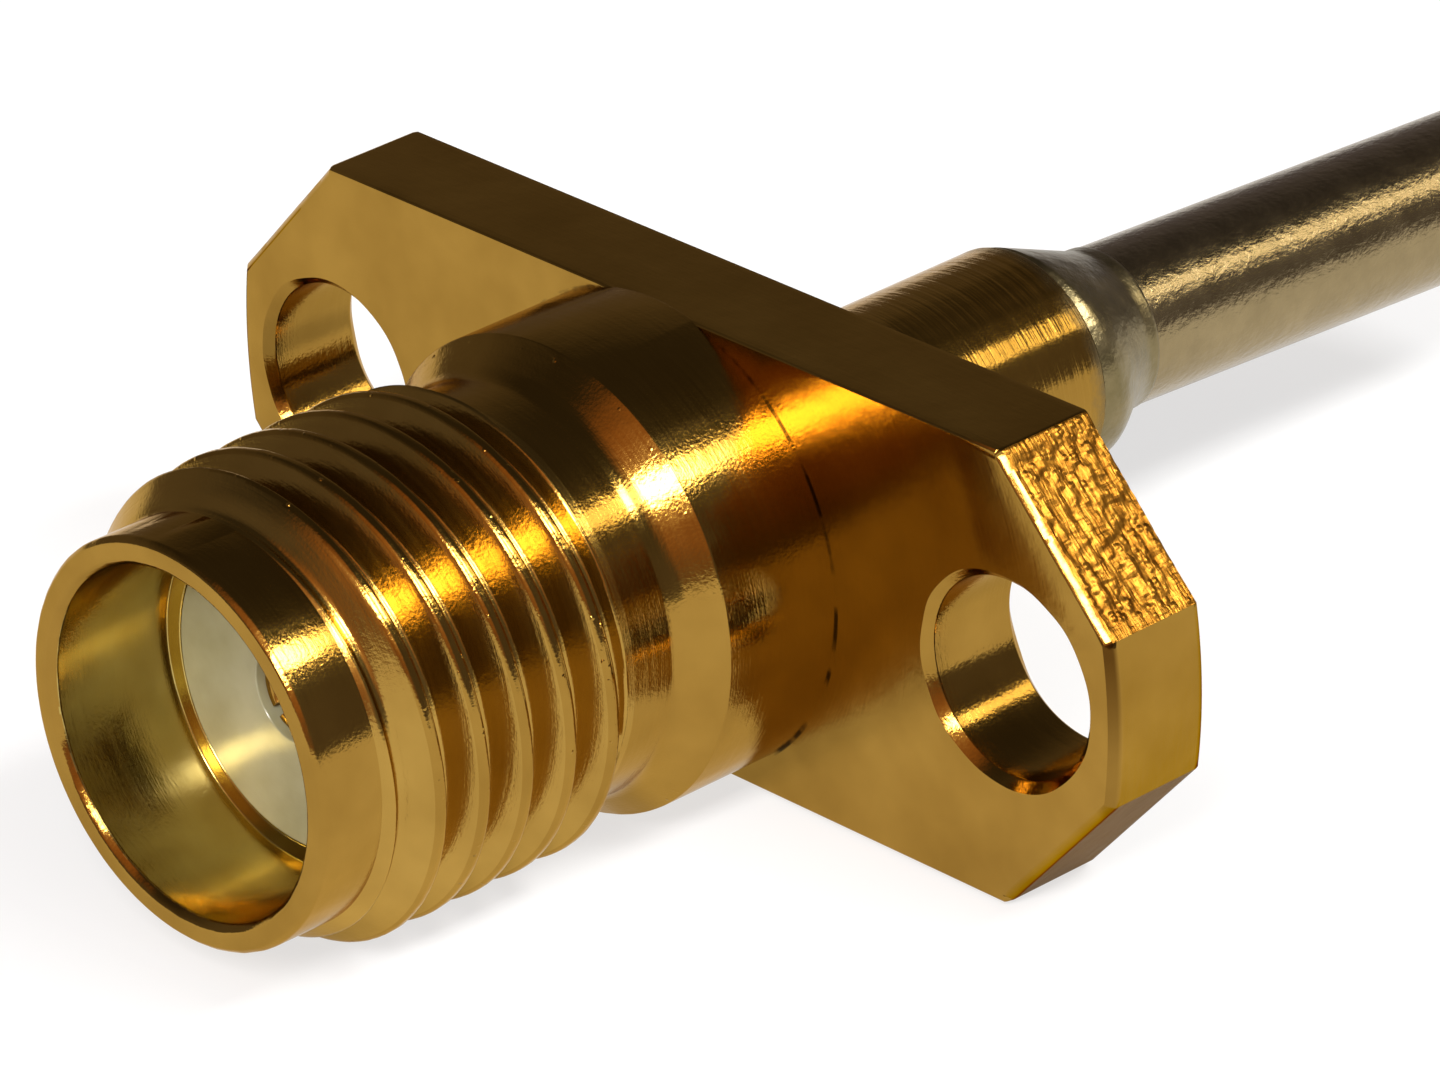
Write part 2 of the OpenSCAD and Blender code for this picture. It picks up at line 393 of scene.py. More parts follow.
def threaded_rows(bm, low_row, high_row):
    """The threaded surface between two rings, as rows that follow the helix."""
    rise = PITCH / ROWS_PER_PITCH
    count = math.ceil((MOUTH_RING_END - THREAD_START) / rise) + ROWS_PER_PITCH
    columns = []
    for i in range(TURNED_SEGMENTS + 1):
        angle = 2 * math.pi * i / TURNED_SEGMENTS
        column = []
        for j in range(count + 1):
            height = THREAD_START - PITCH + j * rise + PITCH * i / TURNED_SEGMENTS
            # rounded, so that the columns end exactly on the two rings
            height = round(min(max(height, THREAD_START), MOUTH_RING_END), 7)
            if height <= THREAD_START:
                column.append(low_row[i % TURNED_SEGMENTS])
            elif height >= MOUTH_RING_END:
                column.append(high_row[i % TURNED_SEGMENTS])
            elif i == TURNED_SEGMENTS:
                column.append(columns[0][j + ROWS_PER_PITCH])
            else:
                column.append(bm.verts.new(spot(thread_radius(height, angle), height, angle)))
        columns.append(column)
    for left, right in zip(columns, columns[1:]):
        for j in range(count):
            add_face(bm, (left[j], right[j], right[j + 1], left[j + 1]))


def turned_body():
    """Barrel and sleeve as one turned ring, with its thread, bore and chamber."""
    mouth = soften([
        (MOUTH_R, MOUTH_RING_END), (MOUTH_R, BARREL_LENGTH - MOUTH_BEVEL),
        (MOUTH_R - MOUTH_BEVEL, BARREL_LENGTH), (BORE_R + BORE_BEVEL, BARREL_LENGTH),
        (BORE_R, BARREL_LENGTH - BORE_BEVEL), (BORE_R, SEAT_HEIGHT), (CHAMBER_R, SEAT_HEIGHT),
        (CHAMBER_R, CHAMBER_FLOOR)], TURNED_SOFT)
    back = soften([
        (CHAMBER_R, CHAMBER_FLOOR), (CABLE_R + CABLE_CLEARANCE, CHAMBER_FLOOR),
        (CABLE_R + CABLE_CLEARANCE, -SLEEVE_END), (SLEEVE_R - SLEEVE_CHAMFER, -SLEEVE_END),
        (SLEEVE_R, -SLEEVE_END + SLEEVE_CHAMFER), (SLEEVE_R, -FLANGE_THICKNESS / 2)], NECK_SOFT)
    neck = soften([
        (SLEEVE_R, -FLANGE_THICKNESS / 2), (RELIEF_R, -FLANGE_THICKNESS / 2),
        (RELIEF_R, -NECK_SINK), (NECK_R, -NECK_SINK), (NECK_R, NECK_LENGTH - NECK_BEVEL),
        (NECK_R - NECK_BEVEL, NECK_LENGTH), (SHOULDER_R, SHOULDER_END)], NECK_SOFT)
    for step in range(1, GROOVE_STEPS + 1):
        share = step / GROOVE_STEPS
        neck.append((RELIEF_R + (SHOULDER_R - RELIEF_R) * (1 - share) ** 2,
                     SHOULDER_END + GROOVE_SWEEP * share))
    neck.append((RELIEF_R, THREAD_START))
    bm = bmesh.new()
    rows = lathe(bm, mouth + back[1:] + neck[1:], TURNED_SEGMENTS, closed=False)
    threaded_rows(bm, rows[-1], rows[0])
    below_rim = BARREL_LENGTH - RIM_MIDDLE
    nick_edges(bm, [(NECK_R, NECK_LENGTH), (BORE_R + RIM_MIDDLE, below_rim), (MOUTH_R, below_rim),
                    (SLEEVE_R, -SLEEVE_END + SLEEVE_CHAMFER / 2)])
    return finish_mesh(bm, "turned_body")


FACET_TURN = math.atan2(FLANGE_WIDTH - END_HEIGHT, FLANGE_LENGTH - LONG_FLAT)


def flange_outline(inset):
    """Outline of the flange in X and Z, smaller all round by inset.

    Each item is a point, its share of the rough milling, which only the upper inclined flats have,
    and its share of the front chamfer, which is small along the long flats.
    """
    corner_x = LONG_FLAT / 2 - CORNER_RADIUS * math.tan(FACET_TURN / 2)
    corner_z = FLANGE_WIDTH / 2 - CORNER_RADIUS
    end_r = FLANGE_LENGTH / 2 - inset
    end_angle = math.asin((END_HEIGHT / 2 - inset / 2) / end_r)
    quarter = []
    for i in range(ROUND_STEPS + 1):
        angle = end_angle * i / ROUND_STEPS
        quarter.append(Vector((end_r * math.cos(angle), end_r * math.sin(angle))))
    chamfers = [1 + (FLAT_CHAMFER - 1) * i / ROUND_STEPS for i in range(ROUND_STEPS + 1)]
    corner = []
    for i, chamfer in enumerate(chamfers):
        angle = FACET_TURN * (ROUND_STEPS - i) / ROUND_STEPS
        reach = CORNER_RADIUS - inset * chamfer
        corner.append(Vector((corner_x + reach * math.sin(angle), corner_z + reach * math.cos(angle))))
    facet = [quarter[-1].lerp(corner[0], i / FACET_STEPS) for i in range(1, FACET_STEPS)]
    fade = [(min(i, FACET_STEPS - i, FADE_STEPS) / FADE_STEPS) ** 2 for i in range(1, FACET_STEPS)]
    middle = Vector((0, corner[-1].y))
    flat = [corner[-1].lerp(middle, i / FLAT_STEPS) for i in range(1, FLAT_STEPS + 1)]
    upper_right = ([(point, 0.0, 1.0) for point in quarter]
                   + [(point, rough, 1.0) for point, rough in zip(facet, fade)]
                   + [(point, 0.0, chamfer) for point, chamfer in zip(corner, chamfers)]
                   + [(point, 0.0, FLAT_CHAMFER) for point in flat])
    upper_left = [(Vector((-p.x, p.y)), *shares) for p, *shares in reversed(upper_right[:-1])]
    upper = upper_right + upper_left
    lower = [(Vector((p.x, -p.y)), 0.0, chamfer) for p, _, chamfer in reversed(upper[1:-1])]
    return upper + lower


def milled_point(point, depth, rough):
    """A point of the plate's side, with the ridges and lumps of the rough milling."""
    place = Vector((point.x, depth, point.y))
    ridges = noise.noise(Vector((point.x * MILL_RIDGE_SCALE, depth * MILL_RIDGE_DEEP_SCALE,
                                 point.y * MILL_RIDGE_SCALE)))
    lumps = noise.noise(place * MILL_LUMP_SCALE)
    sink = rough * (MILL_RIDGES * (ridges - 0.4) + MILL_LUMPS * (lumps - 0.4))
    outward = Vector((math.copysign(math.sin(FACET_TURN), point.x), 0,
                      math.copysign(math.cos(FACET_TURN), point.y)))
    return place + outward * sink


def add_hole(bm, centre_x, radius, chamfer):
    """The wall of a hole through the plate, with uneven chamfers. Returns its front and back rings."""
    profile = [(radius + chamfer, 0), (radius, chamfer), (radius, FLANGE_THICKNESS - chamfer),
               (radius + chamfer, FLANGE_THICKNESS)]
    if chamfer:
        profile = soften(profile, HOLE_SOFT)
    else:
        profile = [profile[0], profile[-1]]
    rings = []
    for r, depth in profile:
        ring = []
        for k in range(HOLE_SEGMENTS):
            angle = 2 * math.pi * k / HOLE_SEGMENTS
            place = Vector((centre_x + r * math.cos(angle), depth, r * math.sin(angle)))
            uneven = (r - radius) * HOLE_UNEVENNESS * noise.noise(place * HOLE_UNEVEN_SCALE)
            place.x += uneven * math.cos(angle)
            place.z += uneven * math.sin(angle)
            ring.append(bm.verts.new(place))
        rings.append(ring)
    for near, far in zip(rings, rings[1:]):
        for i in range(HOLE_SEGMENTS):
            j = (i + 1) % HOLE_SEGMENTS
            bm.faces.new((near[j], near[i], far[i], far[j]))
    return rings[0], rings[-1]


def flange_plate():
    """The milled plate with chamfered edges and its three holes."""
    front_flat, back_flat = FRONT_CHAMFER + 0.02, FLANGE_THICKNESS - BACK_BREAK
    # each layer is a depth, an inset and a share of the rough milling
    layers = [(0.0, FRONT_CHAMFER + EDGE_ROUND, 0.0), (EDGE_ROUND, FRONT_CHAMFER - EDGE_ROUND, 0.0),
              (FRONT_CHAMFER - EDGE_ROUND, EDGE_ROUND + 0.002, EDGE_MILLED)]
    for step in range(DEPTH_STEPS + 1):
        depth = front_flat + (back_flat - front_flat) * step / DEPTH_STEPS
        layers.append((depth, 0.0, 1.0 if step else FIRST_MILLED))
    layers += [(FLANGE_THICKNESS - BACK_ROUND, BACK_ROUND, BACK_MILLED),
               (FLANGE_THICKNESS, BACK_BREAK, 0.0)]
    bm = bmesh.new()
    loops = []
    for depth, inset, share in layers:
        loop = []
        for point, rough, chamfer in flange_outline(inset):
            here = depth * chamfer if depth < FRONT_CHAMFER else depth
            loop.append(bm.verts.new(milled_point(point, here, rough * share)))
        loops.append(loop)
    lathe_rows(bm, loops)
    fronts, backs = [loops[0]], [loops[-1]]
    for centre_x, radius, chamfer in ((-HOLE_X, HOLE_R, HOLE_CHAMFER), (0, PLATE_BORE_R, 0.0),
                                      (HOLE_X, HOLE_R, HOLE_CHAMFER)):
        front, back = add_hole(bm, centre_x, radius, chamfer)
        fronts.append(front)
        backs.append(back)
    for rings in (fronts, backs):
        edges = []
        for ring in rings:
            edges += [bm.edges.get((ring[i], ring[(i + 1) % len(ring)])) for i in range(len(ring))]
        bmesh.ops.triangle_fill(bm, use_beauty=True, edges=edges)
    return finish_mesh(bm, "plate")


def connector_body():
    """The whole gold-plated body as one closed mesh."""
    body = turned_body()
    cut(body, flange_plate(), "UNION")

    def in_thread(point):
        return -MOUTH_RING_END + 0.02 < point.y < -THREAD_START - 0.02

    whole = remake(body, "gold_body", BODY_SHARP_ANGLE, in_thread)
    keep_flats_flat(whole)
    return whole


# Pieces inside the barrel

def insulator():
    """White bush with a bore for the contact and a wider one for its collar."""
    outer_r = CHAMBER_R - SEAT_CLEARANCE
    bore_r = CONTACT_R + SEAT_CLEARANCE
    collar_r = COLLAR_R + SEAT_CLEARANCE
    front = soften([(collar_r, COLLAR_HIGH), (bore_r, COLLAR_HIGH), (bore_r, SEAT_HEIGHT),
                    (outer_r, SEAT_HEIGHT), (outer_r, CHAMBER_FLOOR), (collar_r, CHAMBER_FLOOR)],
                   TURNED_SOFT)
    bm = bmesh.new()
    lathe(bm, front, TURNED_SEGMENTS // 2)
    return finish_mesh(bm, "insulator_bush")


def contact():
    """Slotted socket in front, a collar, and a blind hole for the wire behind."""
    wire_hole = WIRE_R + SEAT_CLEARANCE
    outside = soften([
        (SOCKET_R, CONTACT_TIP - SOCKET_DEPTH), (SOCKET_R, CONTACT_TIP - CONTACT_BEVEL),
        (SOCKET_R + CONTACT_BEVEL, CONTACT_TIP), (CONTACT_R - CONTACT_BEVEL, CONTACT_TIP),
        (CONTACT_R, CONTACT_TIP - CONTACT_BEVEL), (CONTACT_R, COLLAR_HIGH), (COLLAR_R, COLLAR_HIGH),
        (COLLAR_R, COLLAR_LOW), (CONTACT_R, COLLAR_LOW), (CONTACT_R, CHAMBER_FLOOR),
        (wire_hole, CHAMBER_FLOOR), (wire_hole, CHAMBER_FLOOR + CRIMP_DEPTH)], CONTACT_SOFT)
    profile = ([(0, CONTACT_TIP - SOCKET_DEPTH)] + outside
               + [(0, CHAMBER_FLOOR + CRIMP_DEPTH)])
    bm = bmesh.new()
    lathe(bm, profile, SMALL_SEGMENTS, closed=False)
    thing = finish_mesh(bm, "socket_contact")
    for angle in (45, 135):
        slot = bmesh.new()
        bmesh.ops.create_cube(slot, size=1.0)
        reach = SLOT_LENGTH + 0.2
        bmesh.ops.scale(slot, vec=(4 * CONTACT_R, reach, SLOT_WIDTH), verts=slot.verts)
        bmesh.ops.translate(slot, vec=(0, -CONTACT_TIP + SLOT_LENGTH - reach / 2, 0), verts=slot.verts)
        bmesh.ops.rotate(slot, matrix=Matrix.Rotation(math.radians(angle), 3, "Y"), verts=slot.verts)
        cut(thing, finish_mesh(slot, "slot"), "DIFFERENCE")
    return remake(thing, "socket_contact")


# Cable and solder

def cable_frame(distance):
    """Centre, across and up directions of the cable at a distance behind the flange's front face."""
    side = Vector((math.cos(LEAN_SIDE), 0, -math.sin(LEAN_SIDE)))
    along = Vector((0, 1, 0))
    if distance <= BEND_START:
        centre, heading = along * distance, 0.0
    else:
        run = distance - BEND_START
        heading = min(run / BEND_RADIUS, LEAN)
        tail = max(run - BEND_RADIUS * LEAN, 0.0)
        centre = along * (BEND_START + BEND_RADIUS * math.sin(heading)
                          + tail * math.cos(heading))
        centre += side * (BEND_RADIUS * (1 - math.cos(heading)) + tail * math.sin(heading))
    direction = math.cos(heading) * along + math.sin(heading) * side
    across = direction.cross(Vector((0, 0, 1))).normalized()
    return centre, across, across.cross(direction)


def cable_ring(bm, distance, radius, segments, shape=None):
    """One ring of vertices round the cable. shape(angle) changes the radius."""
    centre, across, up = cable_frame(distance)
    ring = []
    for i in range(segments):
        angle = 2 * math.pi * i / segments
        r = radius if shape is None else shape(angle)
        ring.append(bm.verts.new(centre + r * (math.cos(angle) * across + math.sin(angle) * up)))
    return ring


def cable_length_points(start, end):
    """Evenly spaced distances along the cable, between the narrow broken edges of its two ends."""
    length = end - start - 2 * CABLE_BREAK
    inner = [start + CABLE_BREAK + length * i / CABLE_STEPS for i in range(CABLE_STEPS + 1)]
    return [start] + inner + [end]


def cable_tube(name, outer_r, inner_r, start):
    """A tube or a wire of the cable, from start to the cut end, with softly broken edges."""
    end = SLEEVE_END + STUB_LENGTH
    bm = bmesh.new()
    rows = []
    for distance in cable_length_points(start, end):
        r = outer_r - (CABLE_BREAK if distance in (start, end) else 0.0)
        rows.append(cable_ring(bm, distance, r, SMALL_SEGMENTS))
    if inner_r:
        for distance in reversed(cable_length_points(start, end)):
            rows.append(cable_ring(bm, distance, inner_r, SMALL_SEGMENTS))
        lathe_rows(bm, rows, closed=True)
    else:
        lathe_rows(bm, rows)
        bm.faces.new(rows[0])
        bm.faces.new(rows[-1])
    return finish_mesh(bm, name)


def solder_collar():
    """The solder: a full, slightly uneven shoulder on the sleeve's end, then a run down to the cable."""
    def bulge(share, angle):
        lumps = 0.02 * math.sin(2 * angle + 0.7) + 0.014 * math.sin(3 * angle + 5 * share + 2.0)
        return lumps * math.sin(math.pi * min(share * 1.15, 1.0))

    top_r, foot_r = SLEEVE_R - SOLDER_RIM, CABLE_R + SOLDER_FOOT

    def surface(share, angle):
        # the solder is full below and runs down almost straight on the upper side
        fullness = 0.5 - 0.5 * math.cos(angle - THINNEST_SIDE)
        shoulder = 0.01 + 0.21 * fullness
        if share <= shoulder:
            base = top_r - SOLDER_RIM * (1 - share / shoulder) ** 2
        else:
            run = (share - shoulder) / (1 - shoulder)
            full_run = (1 + math.cos(math.pi * run)) / 2
            straight_run = max(1 - run / UPPER_RUN, 0.0)
            base = foot_r + (top_r - foot_r) * (straight_run + (full_run - straight_run) * fullness)
        return base + bulge(share, angle) * (0.3 + 0.7 * fullness)

    end = SLEEVE_END + FILLET_LENGTH
    bm = bmesh.new()
    rows = [cable_ring(bm, SLEEVE_END, SLEEVE_R - SLEEVE_CHAMFER, SMALL_SEGMENTS)]
    for step in range(1, SOLDER_STEPS + 1):
        share = step / SOLDER_STEPS
        rows.append(cable_ring(bm, SLEEVE_END + FILLET_LENGTH * share, 0, SMALL_SEGMENTS,
                               lambda angle: surface(share, angle)))
    rows.append(cable_ring(bm, end + SOLDER_FOOT, CABLE_R + SOLDER_LIP, SMALL_SEGMENTS))
    for distance in (end, SLEEVE_END):
        rows.append(cable_ring(bm, distance, CABLE_R, SMALL_SEGMENTS))
    lathe_rows(bm, rows, closed=True)
    return finish_mesh(bm, "solder_collar", SOLDER_SHARP_ANGLE)


# Materials

class Nodes:
    """Small helper that builds a node tree."""

    def __init__(self, name):
        self.material = bpy.data.materials.new(name)
        self.material.use_nodes = True
        self.tree = self.material.node_tree
        self.shader = self.tree.nodes["Principled BSDF"]
        self.output = self.tree.nodes["Material Output"]

    def add(self, kind, **settings):
        """A node of that kind. A setting that names an input is that input's value."""
        node = self.tree.nodes.new(kind)
        for key, value in settings.items():
            if key in node.inputs:
                node.inputs[key].default_value = value
            else:
                setattr(node, key, value)
        return node

    def link(self, source, target):
        self.tree.links.new(source, target)

    def place(self, stretch=(1, 1, 1), turned=False):
        """Position on the object in millimetres, stretched per axis.

        turned gives the distance from the connector's axis as X, and nothing else.
        """
        coordinates = self.add("ShaderNodeTexCoord")
        scale = self.add("ShaderNodeMapping")
        if turned:
            flat = self.add("ShaderNodeVectorMath", operation="MULTIPLY")
            flat.inputs[1].default_value = (1, 0, 1)
            length = self.add("ShaderNodeVectorMath", operation="LENGTH")
            join = self.add("ShaderNodeCombineXYZ")
            self.link(coordinates.outputs["Object"], flat.inputs[0])
            self.link(flat.outputs[0], length.inputs[0])
            self.link(length.outputs["Value"], join.inputs["X"])
            self.link(join.outputs[0], scale.inputs["Vector"])
        else:
            self.link(coordinates.outputs["Object"], scale.inputs["Vector"])
        scale.inputs["Scale"].default_value = tuple(s / MM for s in stretch)
        return scale.outputs["Vector"]

    def noise(self, place, scale=1.0, detail=2.0, roughness=0.5):
        """Noise from 0 to 1."""
        node = self.add("ShaderNodeTexNoise", Scale=scale, Detail=detail, Roughness=roughness)
        self.link(place, node.inputs["Vector"])
        return node.outputs["Fac"]

    def ramp(self, value, low, high, start=0.0, end=1.0):
        """Maps value from the range low..high to start..end and clamps it."""
        node = self.add("ShaderNodeMapRange")
        for key, number in (("From Min", low), ("From Max", high), ("To Min", start), ("To Max", end)):
            node.inputs[key].default_value = number
        self.link(value, node.inputs["Value"])
        return node.outputs["Result"]

    def cells(self, scale):
        """Distance from the nearest of many scattered points, scale of them to a millimetre."""
        node = self.add("ShaderNodeTexVoronoi", Scale=scale)
        self.link(self.place(), node.inputs["Vector"])
        return node.outputs["Distance"]

    def colours(self, value, *stops):
        """A colour ramp over value, from stops of (position, colour)."""
        node = self.add("ShaderNodeValToRGB")
        ramp = node.color_ramp
        while len(ramp.elements) < len(stops):
            ramp.elements.new(0.5)
        for element, (position, colour) in zip(ramp.elements, stops):
            element.position = position
            element.color = (*colour, 1.0)
        self.link(value, node.inputs["Fac"])
        return node.outputs["Color"]

    def product(self, first, second):
        """first times second."""
        node = self.add("ShaderNodeMath", operation="MULTIPLY")
        self.link(first, node.inputs[0])
        self.link(second, node.inputs[1])
        return node.outputs[0]

    def add_share(self, value, factor, base):
        """base plus value times factor."""
        node = self.add("ShaderNodeMath", operation="MULTIPLY_ADD")
        self.link(value, node.inputs[0])
        node.inputs[1].default_value = factor
        self.link(base, node.inputs[2])
        return node.outputs[0]

    def axis(self, name):
        """One coordinate of the position on the object, in millimetres."""
        return self.part(self.place(), name)

    def from_axis(self):
        """Distance from the connector's axis, in millimetres."""
        return self.part(self.place(turned=True), "X")

    def part(self, vector, name):
        """One coordinate of a vector."""
        node = self.add("ShaderNodeSeparateXYZ")
        self.link(vector, node.inputs[0])
        return node.outputs[name]

    def mix(self, share, first, colour):
        """The linked colour first, turning into the given colour with share."""
        node = self.add("ShaderNodeMix", data_type="RGBA")
        self.link(share, node.inputs["Factor"])
        self.link(first, node.inputs[6])
        node.inputs[7].default_value = (*colour, 1.0)
        return node.outputs[2]

    def bump(self, value, depth, below=None):
        """A bump of that depth in millimetres, on top of an earlier one."""
        node = self.add("ShaderNodeBump", Strength=1.0)
        node.inputs["Distance"].default_value = depth * MM
        self.link(value, node.inputs["Height"])
        if below is not None:
            self.link(below, node.inputs["Normal"])
        return node.outputs["Normal"]


# Colours
GOLD_PALE = (0.36, 0.206, 0.039)
GOLD_DEEP = (0.29, 0.16, 0.028)
GOLD_EDGE = (0.90, 0.76, 0.56)
# The bore's gold is a lighter, yellower copy of the plating: painted light, standing in for the light
# inside the mouth
BORE_PALE_PAINTED_LIGHT = (0.52, 0.41, 0.135)
BORE_DEEP_PAINTED_LIGHT = (0.40, 0.285, 0.075)
MILLED_PALE = (0.35, 0.155, 0.018)
MILLED_DEEP = (0.21, 0.08, 0.008)
END_EDGE = (0.26, 0.17, 0.05)
# Painted dark reflection along the front edges of the flange's two ends
PAINTED_DARK_REFLECTION = (0.10, 0.045, 0.007)
# The thread's flanks and roots get a paler copy of the gold: painted light that lifts the shade in its
# valleys
VALLEY_PALE_PAINTED_LIGHT = (0.42, 0.255, 0.055)
VALLEY_DEEP_PAINTED_LIGHT = (0.35, 0.205, 0.041)
WETTED = (0.17, 0.13, 0.065)
# Painted shade for the corner between the flange's face and the neck
PAINTED_CORNER_SHADE = (0.05, 0.03, 0.01)
PTFE_DEEP = (0.35, 0.34, 0.20)
PTFE_PALE = (0.43, 0.42, 0.27)

# Depths of fine marks in millimetres, and what they add to the roughness
PEEL_DEPTH = 0.003
BARREL_CHATTER = 0.0025
SLEEVE_CHATTER = 0.012
CREST_BURRS = 0.012
TORN_RIDGES = 0.022
TORN_SCALLOPS = 0.014
TORN_BLOBS = 0.014
SLEEVE_ROUGHER = 0.04
WET_ROUGHER = 0.16


def gold(name, roughness, line_stretch, line_depth, turned=False, grain=0.0012,
         pale=GOLD_PALE, deep=GOLD_DEEP, rim=GOLD_EDGE, wear_and_painted_shade=None):
    """Bright gold plating over tool marks. line_stretch sets the way the marks run.

    The last argument adds more to the nodes, both real marks and painted shade: it takes and returns the
    sockets of colour, roughness and normal.
    """
    nodes = Nodes(name)
    shader = nodes.shader
    shader.inputs["Metallic"].default_value = 1.0
    shader.inputs["Specular Tint"].default_value = (*rim, 1.0)
    patches = nodes.noise(nodes.place(), 0.9, 3.0)
    colour = nodes.colours(patches, (0.3, deep), (0.7, pale))
    lines = nodes.noise(nodes.place(line_stretch, turned), 1.0, 4.0, 0.65)
    peel = nodes.noise(nodes.place(), 4.0, 2.0)
    fine = nodes.noise(nodes.place(), 24.0, 2.0)
    normal = nodes.bump(peel, PEEL_DEPTH)
    normal = nodes.bump(lines, line_depth, normal)
    normal = nodes.bump(fine, grain, normal)
    rough = nodes.ramp(lines, 0.3, 0.75, roughness, roughness * 1.7)
    if wear_and_painted_shade:
        colour, rough, normal = wear_and_painted_shade(nodes, colour, rough, normal)
    nodes.link(colour, shader.inputs["Base Color"])
    nodes.link(rough, shader.inputs["Roughness"])
    nodes.link(normal, shader.inputs["Normal"])
    return nodes.material


def barrel_wear(nodes, colour, rough, normal):
    """Chatter, burrs on the thread's crests, and the solder that has wetted the sleeve's end."""
    chatter = nodes.noise(nodes.place((0.4, 12, 0.4)), 1.0, 3.0)
    normal = nodes.bump(chatter, BARREL_CHATTER, normal)
    behind = nodes.axis("Y")
    sleeve = nodes.ramp(behind, 1.0, 2.0)
    normal = nodes.bump(nodes.product(chatter, sleeve), SLEEVE_CHATTER, normal)
    burrs = nodes.ramp(nodes.cells(8.0), 0.05, 0.25, 1.0, 0.0)
    some = nodes.ramp(nodes.noise(nodes.place(), 2.2, 2.0), 0.5, 0.6)
    from_axis = nodes.from_axis()
    crests = nodes.product(nodes.ramp(from_axis, THREAD_R - 0.06, THREAD_R - 0.02),
                           nodes.ramp(from_axis, THREAD_R + 0.01, THREAD_R + 0.03, 1.0, 0.0))
    normal = nodes.bump(nodes.product(nodes.product(burrs, some), crests), CREST_BURRS, normal)
    ragged = nodes.add_share(nodes.noise(nodes.place(), 3.0, 4.0, 0.7), 0.5, behind)
    wet = nodes.ramp(ragged, SLEEVE_END - 0.05, SLEEVE_END + 0.25)
    colour = nodes.mix(wet, colour, WETTED)
    rough = nodes.add_share(sleeve, SLEEVE_ROUGHER, rough)
    rough = nodes.add_share(wet, WET_ROUGHER, rough)
    return colour, rough, normal


def neck_painted_shade(nodes, colour, rough, normal):
    """A broken dark line of painted shade in the corner between the flange's face and the neck."""
    broken = nodes.ramp(nodes.noise(nodes.place(), 1.6, 3.0), 0.46, 0.56)
    near_neck = nodes.ramp(nodes.from_axis(), NECK_R + 0.025, NECK_R + 0.045, 1.0, 0.0)
    return nodes.mix(nodes.product(near_neck, broken), colour, PAINTED_CORNER_SHADE), rough, normal


def end_painted_dark_reflection(nodes, colour, rough, normal):
    """A dark reflection painted along the front edges of the flange's two ends, stronger on top."""
    in_front = nodes.ramp(nodes.axis("Y"), FRONT_CHAMFER - 0.02, FRONT_CHAMFER + 0.04, 1.0, 0.0)
    at_end = nodes.ramp(nodes.from_axis(), FLANGE_LENGTH / 2 - 0.22, FLANGE_LENGTH / 2 - 0.12)
    uneven = nodes.ramp(nodes.axis("Z"), -0.6, 0.9, 0.3, 1.0)
    painted_dark = nodes.product(nodes.product(in_front, at_end), uneven)
    return nodes.mix(painted_dark, colour, PAINTED_DARK_REFLECTION), rough, normal


def torn_gold(name):
    """Plating over a flat that a worn cutter has torn: ridges along it, scallops across and blobs."""
    nodes = Nodes(name)
    shader = nodes.shader
    shader.inputs["Metallic"].default_value = 1.0
    shader.inputs["Specular Tint"].default_value = (*GOLD_EDGE, 1.0)
    ridges = nodes.noise(nodes.place((1.8, 14, 1.8)), 1.0, 3.0, 0.6)
    scallops = nodes.noise(nodes.place((12, 2, 12)), 1.0, 2.0)
    blobs = nodes.ramp(nodes.cells(9.0), 0.05, 0.5, 1.0, 0.0)
    where = nodes.noise(nodes.place(), 2.0, 2.0)
    blobs_here = nodes.product(blobs, nodes.ramp(where, 0.42, 0.56))
    scallops_here = nodes.product(scallops, nodes.ramp(where, 0.42, 0.56, 1.0, 0.0))
    normal = nodes.bump(ridges, TORN_RIDGES)
    normal = nodes.bump(scallops_here, TORN_SCALLOPS, normal)
    normal = nodes.bump(blobs_here, TORN_BLOBS, normal)
    nodes.link(nodes.colours(ridges, (0.36, MILLED_DEEP), (0.56, MILLED_PALE)), shader.inputs["Base Color"])
    shader.inputs["Roughness"].default_value = 0.36
    nodes.link(normal, shader.inputs["Normal"])
    return nodes.material


def white_plastic(name):
    """Off-white, slightly translucent insulation with faint turning rings."""
    nodes = Nodes(name)
    shader = nodes.shader
    tone = nodes.noise(nodes.place(), 1.4, 3.0)
    rings = nodes.noise(nodes.place((26, 1, 1), turned=True), 1.0, 3.0)
    nodes.link(nodes.colours(tone, (0.3, PTFE_DEEP), (0.7, PTFE_PALE)), shader.inputs["Base Color"])
    nodes.link(nodes.ramp(rings, 0.3, 0.7, 0.16, 0.26), shader.inputs["Roughness"])
    shader.inputs["Subsurface Weight"].default_value = 0.2
    shader.inputs["Subsurface Radius"].default_value = (0.3 * MM, 0.3 * MM, 0.26 * MM)
    shader.inputs["Subsurface Scale"].default_value = 1.0
    nodes.link(nodes.bump(rings, 0.003), shader.inputs["Normal"])
    return nodes.material


def dull_metal(name, dark, light, roughness, stretch, depth):
    """Tin, solder or silver, with mottled tarnish and faint marks."""
    nodes = Nodes(name)
    shader = nodes.shader
    shader.inputs["Metallic"].default_value = 1.0
    mottle = nodes.noise(nodes.place(), 2.2, 5.0, 0.6)
    marks = nodes.noise(nodes.place(stretch), 1.0, 4.0, 0.6)
    nodes.link(nodes.colours(mottle, (0.25, dark), (0.75, light)), shader.inputs["Base Color"])
    nodes.link(nodes.ramp(mottle, 0.25, 0.75, roughness, roughness * 1.4), shader.inputs["Roughness"])
    nodes.link(nodes.bump(marks, depth), shader.inputs["Normal"])
    return nodes.material


# Build and dress

